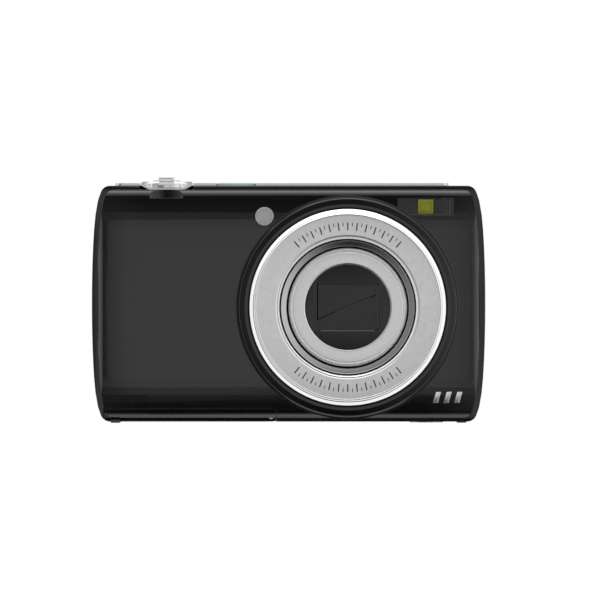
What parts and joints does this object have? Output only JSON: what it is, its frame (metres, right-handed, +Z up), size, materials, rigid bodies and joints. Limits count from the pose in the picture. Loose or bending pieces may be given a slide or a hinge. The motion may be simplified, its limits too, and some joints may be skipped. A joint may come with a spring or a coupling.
{
  "type": "compact digital camera",
  "caption": "Slim black compact camera with a retracting zoom lens behind leaf shutters, a silver lens ring, top controls, rear screen and keys, and a battery door with a tripod socket.",
  "frame": {"origin": "middle of the camera's outer box in plan, on the surface its feet stand on", "axes": "+X to the right as seen from the front, +Y away from the lens towards the screen, +Z up"},
  "size_m": [0.1001, 0.026, 0.0624],
  "materials": {
    "panel_black": "satin black moulded plastic",
    "shell_black": "gloss black moulded plastic",
    "top_silver": "silver plate with a fine brushed finish",
    "bezel_black": "gloss black plastic",
    "ring_silver": "spun aluminium with bright turned edges",
    "barrel_silver": "satin anodised aluminium",
    "barrel_grey": "polished dark metal",
    "control_silver": "plated silver plastic",
    "disc_black": "satin black",
    "leaf_black": "thin metal with black coating",
    "lamp_plastic": "milky translucent plastic",
    "clear_plastic": "clear plastic",
    "flash_grey": "grey moulded plastic",
    "flash_amber": "yellow green plastic",
    "glow_green": "translucent plastic with a green light behind",
    "screen_glass": "dark glass",
    "lens_glass": "coated glass",
    "key_black": "satin black plastic",
    "record_red": "satin red plastic",
    "foot_rubber": "matt rubber",
    "screw_black": "blackened steel",
    "steel": "plain steel",
    "contact_gold": "plated contacts",
    "board_green": "circuit board",
    "battery_grey": "wrapped cell",
    "card_blue": "moulded card",
    "inner_grey": "grey plastic",
    "inner_black": "black glass-filled plastic"
  },
  "bodies": {
    "root": {"front_cover": "panel_black", "rear_cover": "shell_black", "top_plate": "top_silver", "lens_bezel": "bezel_black", "lens_ring": "ring_silver", "lamp_lens": "lamp_plastic", "flash_window": "clear_plastic", "flash_reflector": "flash_grey", "flash_tube": "flash_amber", "strap_bar": "steel", "power_ring": "glow_green", "lcd_window": "screen_glass", "lcd_panel": "inner_grey", "main_board": "board_green", "button_board": "board_green", "dome_switches": "steel", "battery": "battery_grey", "memory_card": "card_blue", "card_slot": "steel", "battery_contacts": "contact_gold", "flash_capacitor": "inner_grey", "usb_port": "steel", "speaker": "inner_grey", "microphone": "contact_gold", "lens_housing": "inner_black", "image_sensor": "inner_grey", "zoom_motor": "steel", "tripod_socket": "steel", "feet": "foot_rubber", "case_screws": "screw_black", "door_pin": "steel"},
    "cam_ring": {"cam_ring": "inner_black"},
    "middle_barrel": {"middle_barrel": "barrel_grey", "lens_frame": "inner_black", "middle_lens": "lens_glass"},
    "front_barrel": {"front_barrel": "barrel_silver", "barrier_disc": "disc_black", "lens_holder": "inner_black", "front_lens": "lens_glass"},
    "barrier_ring": {"barrier_ring": "inner_black"},
    "upper_leaf": {"upper_leaf": "leaf_black"},
    "lower_leaf": {"lower_leaf": "leaf_black"},
    "upper_back_leaf": {"upper_back_leaf": "leaf_black"},
    "lower_back_leaf": {"lower_back_leaf": "leaf_black"},
    "zoom_lever": {"zoom_lever": "control_silver", "lever_clip": "steel"},
    "shutter_button": {"shutter_button": "control_silver"},
    "power_button": {"power_button": "control_silver"},
    "record_button": {"record_button": "record_red"},
    "menu_button": {"menu_button": "key_black"},
    "play_button": {"play_button": "key_black"},
    "delete_button": {"delete_button": "key_black"},
    "up_key": {"up_key": "key_black"},
    "down_key": {"down_key": "key_black"},
    "left_key": {"left_key": "key_black"},
    "right_key": {"right_key": "key_black"},
    "ok_button": {"ok_button": "key_black"},
    "battery_door": {"battery_door": "panel_black"},
    "door_latch": {"door_latch": "panel_black"}
  },
  "joints": [
    {"name": "lens_extend", "type": "slide", "parent": "root", "child": "middle_barrel", "axis": [0, -1, 0], "range_m": [0, 0.009]},
    {"name": "front_extend", "type": "slide", "parent": "middle_barrel", "child": "front_barrel", "axis": [0, -1, 0], "range_m": [0, 0.01]},
    {"name": "cam_turn", "type": "hinge", "parent": "root", "child": "cam_ring", "pos_m": [0.015, 0, 0.02935], "axis": [0, 1, 0], "range_deg": [0, 60]},
    {"name": "barrier_turn", "type": "hinge", "parent": "front_barrel", "child": "barrier_ring", "pos_m": [0.015, -0.0104, 0.02935], "axis": [0, 1, 0], "range_deg": [0, 20]},
    {"name": "upper_leaf_turn", "type": "hinge", "parent": "front_barrel", "child": "upper_leaf", "pos_m": [0.02772, -0.0115, 0.03205], "axis": [0, 1, 0], "range_deg": [0, 33]},
    {"name": "lower_leaf_turn", "type": "hinge", "parent": "front_barrel", "child": "lower_leaf", "pos_m": [0.00228, -0.0115, 0.02665], "axis": [0, 1, 0], "range_deg": [0, 33]},
    {"name": "upper_back_leaf_turn", "type": "hinge", "parent": "front_barrel", "child": "upper_back_leaf", "pos_m": [0.02772, -0.0115, 0.03205], "axis": [0, 1, 0], "range_deg": [0, 16.5]},
    {"name": "lower_back_leaf_turn", "type": "hinge", "parent": "front_barrel", "child": "lower_back_leaf", "pos_m": [0.00228, -0.0115, 0.02665], "axis": [0, 1, 0], "range_deg": [0, 16.5]},
    {"name": "zoom_turn", "type": "hinge", "parent": "root", "child": "zoom_lever", "pos_m": [-0.031, 0.002, 0.06], "axis": [0, 0, 1], "range_deg": [-15, 15], "stiffness_Nm_per_rad": 0.02},
    {"name": "shutter_press", "type": "slide", "parent": "root", "child": "shutter_button", "axis": [0, 0, -1], "range_m": [0, 0.0008], "stiffness_N_per_m": 400},
    {"name": "power_press", "type": "slide", "parent": "root", "child": "power_button", "axis": [0, 0, -1], "range_m": [0, 0.0004], "stiffness_N_per_m": 600},
    {"name": "record_press", "type": "slide", "parent": "root", "child": "record_button", "axis": [0, -1, 0], "range_m": [0, 0.0003], "stiffness_N_per_m": 600},
    {"name": "menu_press", "type": "slide", "parent": "root", "child": "menu_button", "axis": [0, -1, 0], "range_m": [0, 0.0003], "stiffness_N_per_m": 600},
    {"name": "play_press", "type": "slide", "parent": "root", "child": "play_button", "axis": [0, -1, 0], "range_m": [0, 0.0003], "stiffness_N_per_m": 600},
    {"name": "delete_press", "type": "slide", "parent": "root", "child": "delete_button", "axis": [0, -1, 0], "range_m": [0, 0.0003], "stiffness_N_per_m": 600},
    {"name": "up_press", "type": "slide", "parent": "root", "child": "up_key", "axis": [0, -1, 0], "range_m": [0, 0.0003], "stiffness_N_per_m": 600},
    {"name": "down_press", "type": "slide", "parent": "root", "child": "down_key", "axis": [0, -1, 0], "range_m": [0, 0.0003], "stiffness_N_per_m": 600},
    {"name": "left_press", "type": "slide", "parent": "root", "child": "left_key", "axis": [0, -1, 0], "range_m": [0, 0.0003], "stiffness_N_per_m": 600},
    {"name": "right_press", "type": "slide", "parent": "root", "child": "right_key", "axis": [0, -1, 0], "range_m": [0, 0.0003], "stiffness_N_per_m": 600},
    {"name": "ok_press", "type": "slide", "parent": "root", "child": "ok_button", "axis": [0, -1, 0], "range_m": [0, 0.0003], "stiffness_N_per_m": 600},
    {"name": "door_swing", "type": "hinge", "parent": "root", "child": "battery_door", "pos_m": [-0.0044, 0.001, 0.0015], "axis": [0, -1, 0], "range_deg": [0, 90]},
    {"name": "latch_slide", "type": "slide", "parent": "battery_door", "child": "door_latch", "axis": [1, 0, 0], "range_m": [0, 0.0015]}
  ],
  "couplings": [
    {"joint": "front_extend", "follows": "lens_extend", "ratio": 1.1111},
    {"joint": "cam_turn", "follows": "lens_extend", "rad_per_m": 116.36},
    {"joint": "upper_leaf_turn", "follows": "barrier_turn", "ratio": 1.65},
    {"joint": "lower_leaf_turn", "follows": "barrier_turn", "ratio": 1.65},
    {"joint": "upper_back_leaf_turn", "follows": "barrier_turn", "ratio": 0.825},
    {"joint": "lower_back_leaf_turn", "follows": "barrier_turn", "ratio": 0.825}
  ]
}
